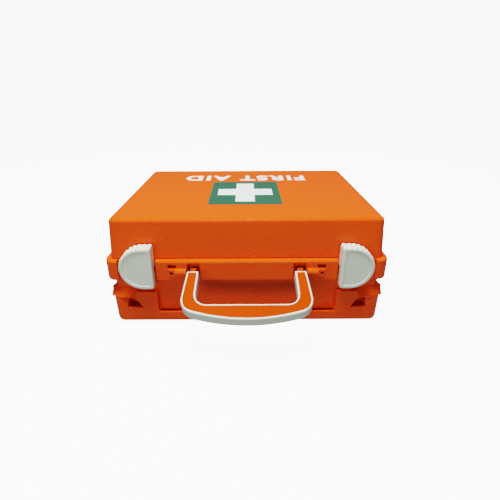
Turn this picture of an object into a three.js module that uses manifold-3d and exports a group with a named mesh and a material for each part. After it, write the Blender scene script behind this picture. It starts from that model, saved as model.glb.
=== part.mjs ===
// A rigid plastic first aid case with its dressings, in millimetres, +Z up.
// The case lies on its base with the lid on top. The handle side is the front, at -Y, and the hinges
// are at +Y. The origin is the middle of the base's underside. Every left-hand piece is drawn once and
// mirrored for the right.
import * as THREE from "three";
import { mergeVertices } from "three/addons/utils/BufferGeometryUtils.js";
import Module from "manifold-3d";

const wasm = await Module();
wasm.setup();

// ---------- driving dimensions ----------
const WALL = 2.5;
const RUNNING_GAP = 0.3;
const CASE_HEIGHT = 125.5;
const PARTING = 80; // top of the base's rim, and the height of the hinge axis
const LID_BOTTOM = PARTING + 0.8;
const FRONT_FACE = -105; // front of the skirt, the plinth and the corner brackets
const BACK_FACE = 112; // back of the rear feet and the lid stops, on which the case can also stand

const skirt = { width: 310, depth: 210, radius: 12, bottom: 56.5, wall: 2.5, edge: 2.5 };
const tub = { width: 297, depth: 196, radius: 9, growX: 1, growY: 1.5 }; // at the floor; it grows to the rim
const rim = { width: 288, depth: 188, bottom: 70, tongueTop: PARTING + 5, tongueWall: 2 };
const plinth = {
  width: 301, depth: 210, radius: 10, height: 13.3, edge: 4, grooveHalf: 100, grooveBottom: 4,
};
const toe = { back: -92, top: 12.8 }; // the recess under the front wall, behind the plinth's lip
const lid = { width: 299, depth: 199, radius: 8, edge: 4, shrink: 2.5 };
const bracket = {
  inner: 100.4, outer: 151.5, top: 42.6, ledgeFront: 34.2, ledgeInner: 126, blockOuter: 120, blockTop: 40.8,
  cornerRadius: 10, lean: 1, skin: 2.4, earRadius: 2.7, earBore: 1.6,
};
// The hollow behind the bracket's slot, which reaches into the tub's front wall.
const slotHollow = { outer: 134, inner: 108, back: -91.5, bottom: 16, top: 34 };
const rearFoot = { inner: 105, outer: 151, top: 34 };
const hinge = { x: 62, y: 105, radius: 4.5, pinRadius: 1.5, lidWidth: 18, baseWidth: 11, gap: 0.4 };
const lidStop = { x: 94, width: 12, bottom: 62, top: PARTING + 5.1 };
const latch = {
  x: -110.8, z: 74.4, radius: 25, flat: 10.8, depth: 11.5, back: -101.2, lowerBack: -105.4, corner: 3,
  skin: 2.2, scallops: 6, scallopHeight: 1.1, pinRadius: 3, dishInset: 4, dishDepth: 0.7,
};
const latchPocket = { left: -140, right: -98.5, floor: -100.5 };
const keeper = { width: 16, bottom: 90, top: 94.5, reach: 1.3 };
const handle = {
  y: -105.5, z: 67, droop: 19, legInner: 51.3, legOuter: 63.5, widest: 65.5, length: 60, shoulder: 52,
  gripInner: 43.3, cornerRadius: 11, thickness: 12.5, pinRadius: 2.5, border: 1.9, legEnd: 3.7,
  tongueWidth: 6, tongueRadius: 4.2,
};
const bearing = {
  left: -84.8, middle: -76, right: -65.2, bottom: 61.5, top: 70, plate: 1.8, bulge: 4.1, screwX: -81.6,
};
const bearingPocket = { left: -85.5, right: -76.5, bottom: 71, top: 75.8 };
const label = { size: 88, x: -1.5, y: -11, thickness: 0.3, armLength: 69.5, armWidth: 23.4 };
const gasket = { inset: 0.5, width: 1.5, bottom: PARTING - 1.1, top: PARTING + 0.6 };
const plate = { width: 284, depth: 182, radius: 9, bottom: 88, thickness: 2 };
const knob = { y: -78, radius: 9, height: 4.4, shankRadius: 3 };
const divider = { thickness: 2, top: 68, longY: 4, crossX: 48 };

// ---------- colours ----------
const ORANGE = [0.85, 0.2, 0.02];
const WHITE = [0.86, 0.87, 0.84];

function finish([r, g, b], roughness = 0.4, metalness = 0, opacity = 1) {
  const colour = new THREE.Color(r, g, b);
  return new THREE.MeshStandardMaterial({
    color: colour, roughness, metalness, opacity, transparent: opacity < 1,
  });
}

// ---------- solids ----------
function toSolid(geometry) {
  const bare = geometry.clone();
  bare.deleteAttribute("normal");
  bare.deleteAttribute("uv");
  const merged = mergeVertices(bare, 1e-4);
  const mesh = new wasm.Mesh({
    numProp: 3,
    vertProperties: merged.attributes.position.array,
    triVerts: new Uint32Array(merged.index.array),
  });
  return new wasm.Manifold(mesh);
}

function toGeometry(solid) {
  const mesh = solid.getMesh();
  const geometry = new THREE.BufferGeometry();
  geometry.setAttribute("position", new THREE.BufferAttribute(mesh.vertProperties, 3));
  geometry.setIndex(new THREE.BufferAttribute(mesh.triVerts, 1));
  const flat = geometry.toNonIndexed();
  flat.computeVertexNormals();
  return flat;
}

function carve(bodies, cuts = []) {
  const joined = bodies.map(toSolid).reduce((a, b) => a.add(b));
  return toGeometry(cuts.map(toSolid).reduce((a, b) => a.subtract(b), joined));
}

function common(a, b) {
  return toGeometry(toSolid(a).intersect(toSolid(b)));
}

function roundedRectangle(width, depth, radius) {
  const x = width / 2 - radius;
  const y = depth / 2 - radius;
  const shape = new THREE.Shape();
  shape.absarc(x, -y, radius, -Math.PI / 2, 0);
  shape.absarc(x, y, radius, 0, Math.PI / 2);
  shape.absarc(-x, y, radius, Math.PI / 2, Math.PI);
  shape.absarc(-x, -y, radius, Math.PI, 1.5 * Math.PI);
  shape.closePath();
  return shape;
}

function prism(shape, bottom, top, curveSegments = 5) {
  const options = { depth: top - bottom, bevelEnabled: false, curveSegments };
  return new THREE.ExtrudeGeometry(shape, options).translate(0, 0, bottom);
}

// A prism whose two ends are rounded by `edge`.
function softPrism(shape, bottom, top, edge, curveSegments = 5, bevelSegments = 3) {
  const options = {
    depth: top - bottom - 2 * edge, curveSegments, bevelSegments,
    bevelSize: edge, bevelThickness: edge, bevelOffset: -edge,
  };
  return new THREE.ExtrudeGeometry(shape, options).translate(0, 0, bottom + edge);
}

function block(x0, x1, y0, y1, z0, z1) {
  const centre = [(x0 + x1) / 2, (y0 + y1) / 2, (z0 + z1) / 2];
  return new THREE.BoxGeometry(x1 - x0, y1 - y0, z1 - z0).translate(...centre);
}

// A rounded slab such as a pack or a carton.
function softBlock(x0, x1, y0, y1, z0, z1, radius, edge) {
  const shape = roundedRectangle(x1 - x0, y1 - y0, radius);
  return softPrism(shape, z0, z1, edge, 2, 1).translate((x0 + x1) / 2, (y0 + y1) / 2, 0);
}

// An outline in X and Z, extruded from y0 to y1.
function frontPrism(points, y0, y1) {
  const shape = new THREE.Shape(points.map(([x, z]) => new THREE.Vector2(x, z)));
  return prism(shape, 0, y1 - y0).rotateX(Math.PI / 2).translate(0, y1, 0);
}

// An outline in Y and Z, extruded from x0 to x1.
function sidePrism(points, x0, x1) {
  const shape = new THREE.Shape(points.map(([y, z]) => new THREE.Vector2(y, z)));
  const turn = new THREE.Matrix4().makeBasis(
    new THREE.Vector3(0, 1, 0), new THREE.Vector3(0, 0, 1), new THREE.Vector3(1, 0, 0),
  );
  return prism(shape, x0, x1).applyMatrix4(turn);
}

// A six-sided solid between two quadrilaterals, each listed anticlockwise as seen from the front.
function taperedSlot(front, back) {
  const corners = [...front, ...back].flat();
  const faces = [0, 1, 2, 0, 2, 3, 4, 6, 5, 4, 7, 6];
  for (let i = 0; i < 4; i++) {
    const j = (i + 1) % 4;
    faces.push(i, i + 4, j, j, i + 4, j + 4);
  }
  const geometry = new THREE.BufferGeometry();
  geometry.setAttribute("position", new THREE.Float32BufferAttribute(corners, 3));
  geometry.setIndex(faces);
  return geometry;
}

// A cylinder along X, Y or Z through (x, y, z), which is the middle of its length.
function cylinder(axis, radius, length, x, y, z, sides = 20) {
  const geometry = new THREE.CylinderGeometry(radius, radius, length, sides);
  if (axis === "x") geometry.rotateZ(Math.PI / 2);
  if (axis === "z") geometry.rotateX(Math.PI / 2);
  return geometry.translate(x, y, z);
}

// The walls lean: each point moves outwards by a share of the growth that rises with its height.
function lean(geometry, low, high, growX, growY) {
  const points = geometry.attributes.position;
  for (let i = 0; i < points.count; i++) {
    const share = (points.getZ(i) - low) / (high - low);
    points.setX(i, points.getX(i) + Math.sign(points.getX(i)) * growX * share);
    points.setY(i, points.getY(i) + Math.sign(points.getY(i)) * growY * share);
  }
  return geometry;
}

function mirrored(geometries) {
  return geometries.flatMap((geometry) => {
    const copy = geometry.index ? geometry.toNonIndexed() : geometry.clone();
    copy.scale(-1, 1, 1);
    const points = copy.attributes.position;
    for (let i = 0; i < points.count; i += 3) {
      const second = new THREE.Vector3().fromBufferAttribute(points, i + 1);
      const third = new THREE.Vector3().fromBufferAttribute(points, i + 2);
      points.setXYZ(i + 1, third.x, third.y, third.z);
      points.setXYZ(i + 2, second.x, second.y, second.z);
    }
    return [geometry, copy];
  });
}

// ---------- the group and its nodes ----------
const kit = new THREE.Group();

function add(name, geometry, material, parent = kit) {
  const mesh = new THREE.Mesh(geometry, material);
  mesh.name = name;
  parent.add(mesh);
  return mesh;
}

// The same geometry on the left as drawn, and mirrored on the right.
function addPair(name, geometry, material, parent = kit) {
  add(`${name}_left`, geometry, material, parent);
  add(`${name}_right`, geometry, material, parent).scale.x = -1;
}

// ---------- hinge knuckles ----------
const lidHalf = hinge.lidWidth / 2;
const knuckleStart = lidHalf + hinge.gap;
const knuckleEnd = knuckleStart + hinge.baseWidth;

function knuckle(x0, x1) {
  return cylinder("x", hinge.radius, x1 - x0, (x0 + x1) / 2, hinge.y, PARTING, 16);
}

const pinHole = cylinder("x", hinge.pinRadius + 0.2, 70, -hinge.x, hinge.y, PARTING, 16);

// ---------- base ----------
// The corner bracket of the left front: a block, a sloping ledge that ends in an eyelet, and a slanted slot
// below it.
function cornerBracket() {
  const { inner, outer, top, ledgeFront, ledgeInner, blockOuter, blockTop } = bracket;
  const { cornerRadius, earRadius, earBore } = bracket;
  const wallFace = FRONT_FACE + 8;
  const outline = [
    [-outer, plinth.edge], [-inner, plinth.edge], [-inner, blockTop - 3], [-inner - 0.9, blockTop - 0.9],
    [-inner - 3, blockTop], [-blockOuter, blockTop], [-ledgeInner, top], [-outer, top],
  ];
  const envelope = lean(
    prism(roundedRectangle(2 * (outer - bracket.lean), -2 * FRONT_FACE, cornerRadius), 0, top + 8),
    0, ledgeFront, bracket.lean, 0,
  );
  const slopeBack = [
    [-outer - 2, wallFace, top], [-ledgeInner, wallFace, top],
    [-blockOuter, wallFace, top + 3], [-outer - 2, wallFace, top + 3],
  ];
  const slopeFront = [
    [-outer - 2, FRONT_FACE - 1, ledgeFront - 1], [-ledgeInner, FRONT_FACE - 1, ledgeFront - 1],
    [-blockOuter, FRONT_FACE - 1, top + 3], [-outer - 2, FRONT_FACE - 1, top + 3],
  ];
  const slotFront = [
    [-135.5, FRONT_FACE - 1, 19.6], [-117.2, FRONT_FACE - 1, 19.6],
    [-125, FRONT_FACE - 1, 32.6], [-147, FRONT_FACE - 1, 32.6],
  ];
  const slotBack = [
    [-132, wallFace - 1, 19.6], [-117.6, wallFace - 1, 19.6],
    [-125.4, wallFace - 1, 33], [-133.5, wallFace - 1, 33],
  ];
  const body = frontPrism(outline, FRONT_FACE, FRONT_FACE + 20);
  const earX = -outer + earRadius;
  const earZ = top + 0.8;
  const eyelet = cylinder("y", earRadius, 6, earX, wallFace - 2.5, earZ, 20);
  const stem = block(-outer, earX - 0.6, FRONT_FACE + 2.5, wallFace + 0.5, ledgeFront, earZ);
  const bore = cylinder("y", earBore, 12, earX, wallFace - 5.5, earZ, 16);
  return {
    bodies: [common(body, envelope), eyelet, stem],
    cuts: [taperedSlot(slopeFront, slopeBack), taperedSlot(slotFront, slotBack), bore],
  };
}

function rearCornerFoot() {
  const { inner, outer, top } = rearFoot;
  const outline = [
    [85, 0.2], [BACK_FACE - 3, 0.2], [BACK_FACE, 3.2], [BACK_FACE, top - 8], [BACK_FACE - 12, top], [85, top],
  ];
  return sidePrism(outline, -outer, -inner);
}

// The collar that hangs outside the tub's rim, open below, with gaps for the latches, the handle and the
// hinges.
function skirtRing() {
  const { width, depth, radius, bottom, wall, edge } = skirt;
  const outer = softPrism(roundedRectangle(width, depth, radius), bottom - 10, PARTING, edge);
  const below = block(-200, 200, -200, 200, 0, bottom);
  const hollow = prism(
    roundedRectangle(width - 2 * wall, depth - 2 * wall, radius - wall), bottom - 1, PARTING - WALL,
  );
  const front = FRONT_FACE - 1;
  const latchGap = block(
    latchPocket.left, latchPocket.right, front, latchPocket.floor, bottom - 1, PARTING + 1,
  );
  const legGap = block(
    -handle.legOuter - 0.8, -handle.legInner + 0.8, front, FRONT_FACE + 6.5, bottom - 1, PARTING - WALL,
  );
  const pinGroove = cylinder("x", handle.pinRadius + 0.2, 24, -handle.legOuter - 1, handle.y, handle.z, 16);
  const opening = block(
    bearingPocket.left, bearingPocket.right, front, FRONT_FACE + wall + 1,
    bearingPocket.bottom, bearingPocket.top,
  );
  const hingeGap = block(
    -hinge.x - knuckleEnd - 0.6, -hinge.x + knuckleEnd + 0.6, hinge.y - 5, depth / 2 + 1,
    PARTING - 7, PARTING + 1,
  );
  return carve([outer], [below, hollow, ...mirrored([latchGap, legGap, pinGroove, opening, hingeGap])]);
}

// A low tray rim round the floor, with an upward groove between it and the tub at the front and the back.
function plinthTray() {
  const { width, depth, radius, height, edge, grooveHalf, grooveBottom } = plinth;
  const foot = softPrism(roundedRectangle(width, depth, radius), 0, height + 8, edge);
  const above = block(-200, 200, -200, 200, height, 40);
  const groove = block(-grooveHalf, grooveHalf, -depth / 2 + WALL, -90, grooveBottom, height + 1);
  const rearGroove = block(-grooveHalf, grooveHalf, 90, depth / 2 - WALL, grooveBottom, height + 1);
  return carve([foot], [above, groove, rearGroove]);
}

function baseShell() {
  const walls = lean(
    prism(roundedRectangle(tub.width, tub.depth, tub.radius), 0.5, PARTING), 0, PARTING, tub.growX, tub.growY,
  );
  const inside = lean(
    prism(roundedRectangle(tub.width - 2 * WALL, tub.depth - 2 * WALL, tub.radius - WALL), WALL, rim.bottom),
    0, PARTING, tub.growX, tub.growY,
  );
  const tongue = prism(
    roundedRectangle(rim.width + 2 * rim.tongueWall, rim.depth + 2 * rim.tongueWall, 7),
    rim.bottom, rim.tongueTop,
  );
  const mouth = prism(roundedRectangle(rim.width, rim.depth, 5), rim.bottom - 1, rim.tongueTop + 1);
  const gasketGroove = ring(
    gasketOutline(0.2), gasketOutline(-gasket.width - 0.2), gasket.bottom - 0.1, PARTING + 1,
  );

  const corner = cornerBracket();
  const latchSeat = block(
    latchPocket.left - 1, latchPocket.right + 1, latchPocket.floor, -90, skirt.bottom, PARTING,
  );
  const latchBore = cylinder("y", latch.pinRadius + 0.2, 30, latch.x, -95, latch.z, 16);
  const stop = block(
    -lidStop.x - lidStop.width / 2, -lidStop.x + lidStop.width / 2, hinge.y - 1, BACK_FACE,
    lidStop.bottom, lidStop.top,
  );
  const knuckles = [-knuckleEnd, knuckleStart].flatMap((offset) => {
    const left = -hinge.x + offset;
    const right = left + hinge.baseWidth;
    return [knuckle(left, right), block(left, right, 96, hinge.y, PARTING - 4.5, PARTING)];
  });
  const lidKnuckleRoom = cylinder(
    "x", hinge.radius + 0.5, hinge.lidWidth + 2 * hinge.gap, -hinge.x, hinge.y, PARTING, 24,
  );
  const shell = carve(
    [walls, tongue, plinthTray(), skirtRing(),
      ...mirrored([...corner.bodies, rearCornerFoot(), latchSeat, ...knuckles, stop])],
    [inside, mouth, gasketGroove, ...mirrored([...corner.cuts, latchBore, lidKnuckleRoom, pinHole])],
  );

  const { grooveHalf, grooveBottom } = plinth;
  const toeSkin = block(
    -grooveHalf - WALL, grooveHalf + WALL, -97, toe.back + WALL, WALL - 0.5, toe.top + WALL,
  );
  const toeRecess = block(
    -grooveHalf, grooveHalf, -plinth.depth / 2 + WALL, toe.back, grooveBottom, toe.top,
  );

  const { outer, inner, back, bottom, top } = slotHollow;
  const hollow = block(-outer, -inner, FRONT_FACE + bracket.skin, back, bottom, top);
  const hollowSkin = block(
    -outer - WALL, -inner + WALL, -97, back + WALL, bottom - WALL, top + WALL,
  );
  return carve([shell, toeSkin, ...mirrored([hollowSkin])], [toeRecess, ...mirrored([hollow])]);
}

// The outline of the gasket's outer edge, moved outwards by `extra`.
function gasketOutline(extra) {
  const width = lid.width - 2 * gasket.inset;
  const depth = lid.depth - 2 * gasket.inset;
  return roundedRectangle(width + 2 * extra, depth + 2 * extra, lid.radius + Math.min(extra, 0));
}

function ring(outerShape, innerShape, bottom, top) {
  return carve([prism(outerShape, bottom, top)], [prism(innerShape, bottom - 1, top + 1)]);
}

// ---------- lid ----------
const postX = 118;
const postY = 66;

function lidShell() {
  const { width, depth, radius, edge, shrink } = lid;
  const outer = softPrism(roundedRectangle(width, depth, radius), LID_BOTTOM - 10, CASE_HEIGHT, edge);
  const inner = softPrism(
    roundedRectangle(width - 2 * WALL, depth - 2 * WALL, radius - WALL),
    LID_BOTTOM - 16, CASE_HEIGHT - WALL, 2,
  );
  for (const body of [outer, inner]) lean(body, LID_BOTTOM, CASE_HEIGHT, -shrink, -shrink);
  const below = block(-200, 200, -200, 200, 0, LID_BOTTOM);
  const shell = carve([outer], [inner, below]);

  const postTop = CASE_HEIGHT - WALL + 0.5;
  const postBottom = plate.bottom + plate.thickness + RUNNING_GAP;
  const postMiddle = (postTop + postBottom) / 2;
  const posts = [postY, -postY].map((y) => cylinder("z", 4, postTop - postBottom, -postX, y, postMiddle, 12));
  const knobPost = cylinder("z", 6, postTop - postBottom, 0, knob.y, postMiddle, 16);
  const knobBore = cylinder("z", knob.shankRadius + 0.2, 20, 0, knob.y, postBottom + 4, 16);

  const backInside = depth / 2 - WALL + 0.6;
  const plateHook = block(
    -100, -80, backInside - 9, backInside, plate.bottom - 2.3, plate.bottom - RUNNING_GAP,
  );
  const keeperRib = block(
    latch.x - keeper.width / 2, latch.x + keeper.width / 2, -depth / 2 - keeper.reach, -depth / 2 + 2,
    keeper.bottom, keeper.top,
  );
  const armFront = depth / 2 - 2;
  const arm = sidePrism(
    [
      [armFront, LID_BOTTOM], [hinge.y, LID_BOTTOM],
      [hinge.y, PARTING + hinge.radius - 0.1], [armFront, PARTING + 8],
    ],
    -hinge.x - lidHalf, -hinge.x + lidHalf,
  );
  const lidKnuckle = knuckle(-hinge.x - lidHalf, -hinge.x + lidHalf);
  return carve(
    [shell, knobPost, ...mirrored([...posts, plateHook, keeperRib, arm, lidKnuckle])],
    [knobBore, ...mirrored([pinHole])],
  );
}

// ---------- latches ----------
// The D of a latch: a half round on the outer side, a flat on the inner side, and finger scallops along
// the top.
function latchOutline(inset) {
  const { radius, flat, corner, scallops, scallopHeight } = latch;
  const reach = radius - inset;
  const side = flat - inset;
  const round = Math.max(corner - inset, 0.5);
  const points = [];
  for (const [start, z] of [[-90, -reach + round], [0, reach - round]]) {
    for (let i = 0; i <= 2; i++) {
      const angle = THREE.MathUtils.degToRad(start + 45 * i);
      points.push([side - round + round * Math.cos(angle), z + round * Math.sin(angle)]);
    }
  }
  const straight = side - round;
  const scallopedArc = THREE.MathUtils.degToRad(58);
  const length = straight + reach * scallopedArc;
  const steps = scallops * 4;
  for (let i = 1; i <= steps; i++) {
    const along = (length * i) / steps;
    const bump = inset ? 0 : -scallopHeight * Math.abs(Math.sin((Math.PI * scallops * i) / steps));
    if (along < straight) {
      points.push([straight - along, reach + bump]);
    } else {
      const angle = Math.PI / 2 + (along - straight) / reach;
      points.push([(reach + bump) * Math.cos(angle), (reach + bump) * Math.sin(angle)]);
    }
  }
  for (let degrees = 156; degrees <= 270; degrees += 8) {
    const angle = THREE.MathUtils.degToRad(degrees);
    points.push([reach * Math.cos(angle), reach * Math.sin(angle)]);
  }
  return new THREE.Shape(points.map(([x, z]) => new THREE.Vector2(x, z)));
}

// The cap's upper half reaches over the lid's wall. Its lower half stops in front of the skirt, over which
// it turns.
function latchKnob() {
  const edge = 1.4;
  const face = new THREE.ExtrudeGeometry(latchOutline(0), {
    depth: latch.depth - edge, bevelSize: edge, bevelThickness: edge, bevelOffset: -edge, bevelSegments: 2,
  }).rotateX(Math.PI / 2);
  const hollow = prism(latchOutline(latch.skin), -5, latch.depth - 2.6).rotateX(Math.PI / 2);
  const squareBack = block(-40, 40, 0, 10, -40, 40);
  const lowerBack = block(-40, 40, latch.lowerBack - latch.back, 10, -40, -1);
  const shell = carve([face], [hollow, squareBack, lowerBack]);
  const boss = cylinder("y", 5.5, latch.depth - 2, 0, -latch.depth / 2 - 0.1, 0, 20);
  const dish = prism(latchOutline(latch.dishInset), latch.depth - latch.dishDepth, latch.depth + 1)
    .rotateX(Math.PI / 2);
  const bore = cylinder("y", latch.pinRadius + 0.1, 15, 0, 0, 0, 16);
  return carve([shell, boss], [bore, dish]);
}

// A flat ring round the latch pin, from y0 to y1.
function latchRing(outerRadius, innerRadius, y0, y1) {
  const middle = (y0 + y1) / 2;
  const disc = cylinder("y", outerRadius, y1 - y0, latch.x, middle, latch.z, 20);
  const hole = cylinder("y", innerRadius, y1 - y0 + 2, latch.x, middle, latch.z, 16);
  return carve([disc], [hole]);
}

function latchPieces() {
  const steel = finish([0.6, 0.6, 0.62], 0.35, 1);
  const pinFront = latch.back - 7.3;
  const pinBack = -rim.depth / 2 + 2.6;
  const pinMiddle = (pinFront + pinBack) / 2;
  const pin = cylinder("y", latch.pinRadius, pinBack - pinFront, latch.x, pinMiddle, latch.z, 16);
  addPair("latch", latchKnob().translate(latch.x, latch.back, latch.z), finish(WHITE, 0.35));
  addPair("latch_pin", pin, steel);
  const washerBack = latchPocket.floor - 0.15;
  addPair("latch_spring_washer", latchRing(5, latch.pinRadius + 0.25, washerBack - 0.5, washerBack), steel);
  const clipFront = -rim.depth / 2 + 0.2;
  addPair("latch_retaining_clip", latchRing(6, latch.pinRadius + 0.1, clipFront, clipFront + 1.2), steel);
}

// ---------- handle ----------
// The U of the handle, drawn in its own plane: x across, and the grip at negative y. `inset` is all round it.
function handleOutline(inset) {
  const { legInner, legOuter, widest, length, shoulder, gripInner, cornerRadius, legEnd } = handle;
  const end = -legEnd - inset;
  const grip = -gripInner - inset;
  const inner = legInner + inset;
  const round = cornerRadius + inset;
  const half = widest - 10.5 - inset * 0.7;
  const sag = length - shoulder;
  const right = [
    [inner, end], [legOuter - inset, end], [legOuter + 1.2 - inset, -22], [widest - inset, -38],
    [widest - 1.6 - inset, -44 + inset * 0.1], [widest - 5.2 - inset * 0.8, -48.6 + inset * 0.5],
  ];
  for (let i = 0; i <= 6; i++) {
    const share = 1 - i / 6;
    right.push([half * share, -(length - inset) + sag * share * share]);
  }
  const outline = [...right, ...right.slice(1, -1).reverse().map(([x, y]) => [-x, y]), [-inner, end]];
  for (const side of [-1, 1]) {
    const arc = [];
    for (let i = 0; i <= 4; i++) {
      const angle = (Math.PI / 2) * (i / 4);
      arc.push([side * (inner - round + round * Math.cos(angle)), grip + round - round * Math.sin(angle)]);
    }
    outline.push(...(side < 0 ? arc : arc.reverse()));
  }
  return new THREE.Shape(outline.map(([x, y]) => new THREE.Vector2(x, y)));
}

// A white rim all round an orange core, whose two tongues reach back to the pivot pins.
function handlePieces() {
  const { thickness, border, tongueWidth, tongueRadius, pinRadius, legInner, legOuter, legEnd } = handle;
  const group = new THREE.Group();
  group.position.set(0, handle.y, handle.z);
  group.rotation.x = THREE.MathUtils.degToRad(handle.droop);
  kit.add(group);

  const half = thickness / 2;
  const legMiddle = -(legInner + legOuter) / 2;
  const edge = 0.8;
  const bow = new THREE.ExtrudeGeometry(handleOutline(0), {
    depth: thickness - 2 * edge, bevelSize: edge, bevelThickness: edge, bevelOffset: -edge, bevelSegments: 1,
  }).translate(0, 0, -half + edge);
  const middle = prism(handleOutline(border), -half - 1, half + 1);
  const tongueAt = (extra) => block(
    legMiddle - tongueWidth / 2 - extra, legMiddle + tongueWidth / 2 + extra, -legEnd - border - 2, extra,
    -tongueRadius - extra, tongueRadius + extra,
  );
  add("handle_frame", carve([bow], [middle, ...mirrored([tongueAt(0.2)])]), finish(WHITE, 0.35), group);

  const core = prism(handleOutline(border + 0.2), -half + 0.1, half - 0.1);
  const eye = cylinder("x", tongueRadius, tongueWidth, legMiddle, 0, 0, 20);
  const pinHole = cylinder("x", pinRadius + 0.1, tongueWidth + 4, legMiddle, 0, 0, 16);
  const coreBody = carve([core, ...mirrored([tongueAt(0), eye])], mirrored([pinHole]));
  add("handle_core", coreBody, finish([0.88, 0.3, 0.06], 0.45), group);

  const pinLeft = bearing.middle + 0.6;
  const pinRight = -handle.legInner - 0.4;
  const pin = cylinder("x", handle.pinRadius, pinRight - pinLeft, (pinLeft + pinRight) / 2, 0, 0, 16);
  addPair("handle_pin", pin, finish([0.6, 0.6, 0.62], 0.35, 1), group);
}

// The clip that holds the pin against the skirt: a half-round bar beside the leg, and a screwed tab
// further out.
function handleBearings() {
  const { left, middle, right, bottom, top, plate: tabThickness, bulge, screwX } = bearing;
  const tabFront = FRONT_FACE - tabThickness;
  const screwZ = (bottom + top) / 2;
  const tab = block(left, middle, tabFront, FRONT_FACE, bottom, top);
  const bar = cylinder("x", bulge, right - middle + 1, (middle + right - 1) / 2, handle.y, handle.z, 20);
  const behind = block(left - 1, right + 1, FRONT_FACE, -80, 0, 200);
  const boreMiddle = (middle + right + 4.4) / 2;
  const bore = cylinder("x", handle.pinRadius + 0.2, right - middle + 4, boreMiddle, handle.y, handle.z, 16);
  const sink = cylinder("y", 2, 4, screwX, tabFront - 0.9, screwZ, 12);
  addPair("handle_bearing_clip", carve([tab, bar], [behind, bore, sink]), finish(ORANGE));
  const head = cylinder("y", 1.8, 0.6, screwX, tabFront + 0.75, screwZ, 12);
  const slot = block(screwX - 1.4, screwX + 1.4, tabFront - 1, tabFront + 0.7, screwZ - 0.25, screwZ + 0.25);
  addPair("handle_clip_screw", carve([head], [slot]), finish([0.6, 0.6, 0.62], 0.35, 1));
}

// ---------- label ----------
function labelPieces() {
  const top = CASE_HEIGHT + label.thickness;
  const half = label.size / 2;
  const panel = block(label.x - half, label.x + half, label.y - half, label.y + half, CASE_HEIGHT, top);
  add("label_panel", panel, finish([0.1, 0.4, 0.25], 0.4));
  const a = label.armLength / 2;
  const b = label.armWidth / 2;
  const corners = [
    [a, -b], [a, b], [b, b], [b, a], [-b, a], [-b, b],
    [-a, b], [-a, -b], [-b, -b], [-b, -a], [b, -a], [b, -b],
  ];
  const cross = new THREE.Shape(corners.map(([x, y]) => new THREE.Vector2(x, y)));
  add("label_cross", prism(cross, top, top + 0.2).translate(label.x, label.y, 0), finish(WHITE));
}

// ---------- inside the lid ----------
function lidInside() {
  const top = plate.bottom + plate.thickness;
  const shape = roundedRectangle(plate.width, plate.depth, plate.radius);
  const shankHole = cylinder("z", knob.shankRadius + 0.2, 20, 0, knob.y, plate.bottom, 16);
  const sheet = carve([prism(shape, plate.bottom, top)], [shankHole]);
  add("lid_cover_plate", sheet, finish([0.8, 0.85, 0.88], 0.1, 0, 0.35));

  const discTop = plate.bottom - RUNNING_GAP;
  const disc = cylinder("z", knob.radius, 1.6, 0, knob.y, discTop - 0.8, 24);
  const grip = block(-7.6, 7.6, knob.y - 1.7, knob.y + 1.7, discTop - knob.height, discTop - 1);
  const shank = cylinder("z", knob.shankRadius, 13, 0, knob.y, discTop + 5.5, 16);
  add("cover_plate_knob", carve([disc, grip, shank]), finish(WHITE));

  const packing = finish([0.92, 0.92, 0.9], 0.5);
  add("first_aid_booklet", softBlock(-106, -2, -54, 86, top, top + 4, 3, 0.8), finish([0.9, 0.9, 0.86], 0.6));
  add("burn_dressing_pack", softBlock(8, 104, -54, 12, top, top + 14, 6, 2.5), packing);
  add("gauze_pack", softBlock(8, 104, 20, 86, top, top + 18, 6, 2.5), packing);
}

// ---------- inside the base ----------
function dividers() {
  const { thickness, top, longY, crossX } = divider;
  const half = thickness / 2;
  const grey = finish([0.82, 0.83, 0.82], 0.45);
  add("divider_long", block(-143, 143, longY - half, longY + half, WALL, top), grey);
  const frontSheet = block(-crossX - half, -crossX + half, -93, longY - half - 0.5, WALL, top);
  const toeNotch = block(-crossX - 5, -crossX + 5, -95, toe.back + WALL + 0.5, 0, toe.top + WALL + 0.5);
  const front = carve([frontSheet], [toeNotch]);
  const back = block(-crossX - half, -crossX + half, longY + half + 0.5, 93, WALL, top);
  addPair("divider_front", front, grey);
  addPair("divider_back", back, grey);
}

function dressings() {
  const gauze = finish([0.93, 0.91, 0.86], 0.9);
  const paper = finish([0.92, 0.93, 0.94], 0.6);
  const rolls = [[-118, 28, 60], [-73, 28, 60], [-118, 70, 52], [-73, 70, 52]];
  rolls.forEach(([x, y, tall], i) => {
    add(`bandage_roll_${i + 1}`, cylinder("z", 20, tall, x, y, WALL + tall / 2, 28), gauze);
  });
  for (let i = 0; i < 4; i++) {
    const y = 9 + i * 20.4;
    add(`dressing_pack_${i + 1}`, softBlock(-43, 43, y, y + 18, WALL, 62, 5, 2), paper);
  }
  for (let i = 0; i < 2; i++) {
    const middle = WALL + 12.5 + i * 25.5;
    const core = cylinder("z", 11, 30, -96, -22, middle, 24);
    const spool = carve([cylinder("z", 20.5, 25, -96, -22, middle, 32)], [core]);
    add(`tape_spool_${i + 1}`, spool, finish([0.9, 0.88, 0.84], 0.7));
  }
  add("plaster_carton", softBlock(-139, -54, -88, -46, WALL, 62, 1.5, 0.6), finish([0.93, 0.85, 0.72], 0.6));
  add("triangular_bandage_pack", softBlock(53, 139, 9, 45, WALL, 60, 6, 2.5), paper);
  const foil = finish([0.75, 0.6, 0.25], 0.35, 0.6);
  add("rescue_blanket_pack", softBlock(53, 139, 50, 86, WALL, 64, 6, 2.5), foil);
  add("gloves_bag", softBlock(-44, 44, -88, -60, WALL, 60, 8, 4), finish([0.45, 0.6, 0.75], 0.5));
  add("cold_pack", softBlock(-44, 44, -54, -2, WALL, 46, 8, 5), finish([0.2, 0.4, 0.7], 0.35));
  add("compress_pack", softBlock(53, 139, -88, -2, WALL, 44, 6, 3), paper);
}

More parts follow.
